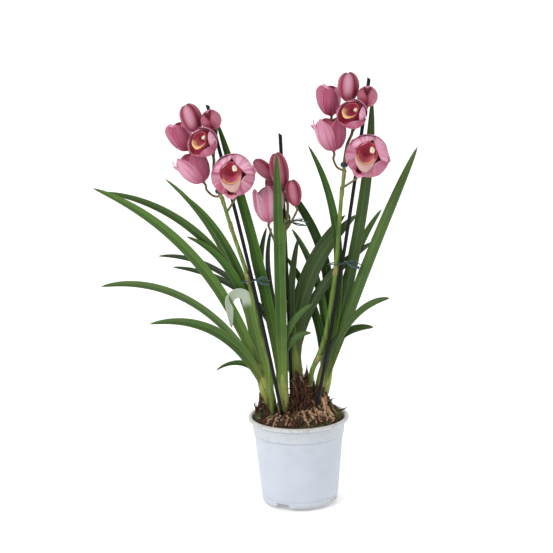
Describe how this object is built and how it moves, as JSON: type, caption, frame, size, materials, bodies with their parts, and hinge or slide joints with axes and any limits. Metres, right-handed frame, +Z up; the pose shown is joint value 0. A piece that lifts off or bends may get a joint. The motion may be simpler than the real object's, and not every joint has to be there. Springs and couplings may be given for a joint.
{
  "type": "potted cymbidium orchid",
  "caption": "Boat orchid with rose-pink blooms and long arching strap leaves on staked flower spikes, growing in a round pale plastic nursery pot of bark mix.",
  "frame": {"origin": "middle of the flat disc under the pot, on the surface the pot stands on", "axes": "+Z up along the pot's axis; -Y towards the front, the side the open blooms face; +X to the right as seen from the front"},
  "size_m": [0.3772, 0.1733, 0.5088],
  "materials": {
    "pot": "pale blue-grey injection-moulded plastic, slightly dirty, satin",
    "mix": "dark damp orchid bark and dry brown sheath scraps, matt",
    "root": "dry tan orchid roots, matt",
    "leaf": "smooth mid-green strap leaves with a soft waxy sheen",
    "dark_leaf": "darker green strap leaves with a soft waxy sheen",
    "stem": "smooth yellow-green flower stem, stalks brownish olive",
    "bloom": "soft rose-pink petals with fine veins, paler inside",
    "bud": "closed dusky rose bud with darker seams",
    "lip": "crimson-edged lip with a cream-yellow band",
    "column": "cream column",
    "stake": "black plastic stake with a slanting cut top",
    "tie": "dark teal-green twist tie"
  },
  "bodies": {
    "root": {"centre_back_bud": "bud", "centre_half_open": "bloom", "centre_left_bud": "bud", "centre_right_bud": "bud", "centre_top_bud": "bud", "clip_left": "tie", "clip_right": "tie", "left_front": "bloom", "left_front_column": "column", "left_front_lip": "lip", "left_half_open": "bloom", "left_low_front": "bloom", "left_low_front_column": "column", "left_low_front_lip": "lip", "left_low_side": "bloom", "left_side_bud": "bud", "left_top_bud": "bud", "pot": "pot", "potting_mix": "mix", "right_front": "bloom", "right_front_column": "column", "right_front_lip": "lip", "right_half_open": "bloom", "right_low_front": "bloom", "right_low_front_column": "column", "right_low_front_lip": "lip", "right_low_side": "bloom", "right_side_bud": "bud", "right_top_bud": "bud", "roots": "root", "shoot_back": "dark_leaf", "shoot_front": "leaf", "shoot_left": "leaf", "shoot_right": "leaf", "spike_centre": "stem", "spike_left": "stem", "spike_right": "stem", "stake_centre": "stake", "stake_left": "stake", "stake_right": "stake", "tie_centre": "tie", "tie_left": "tie", "tie_right": "tie"}
  },
  "joints": []
}
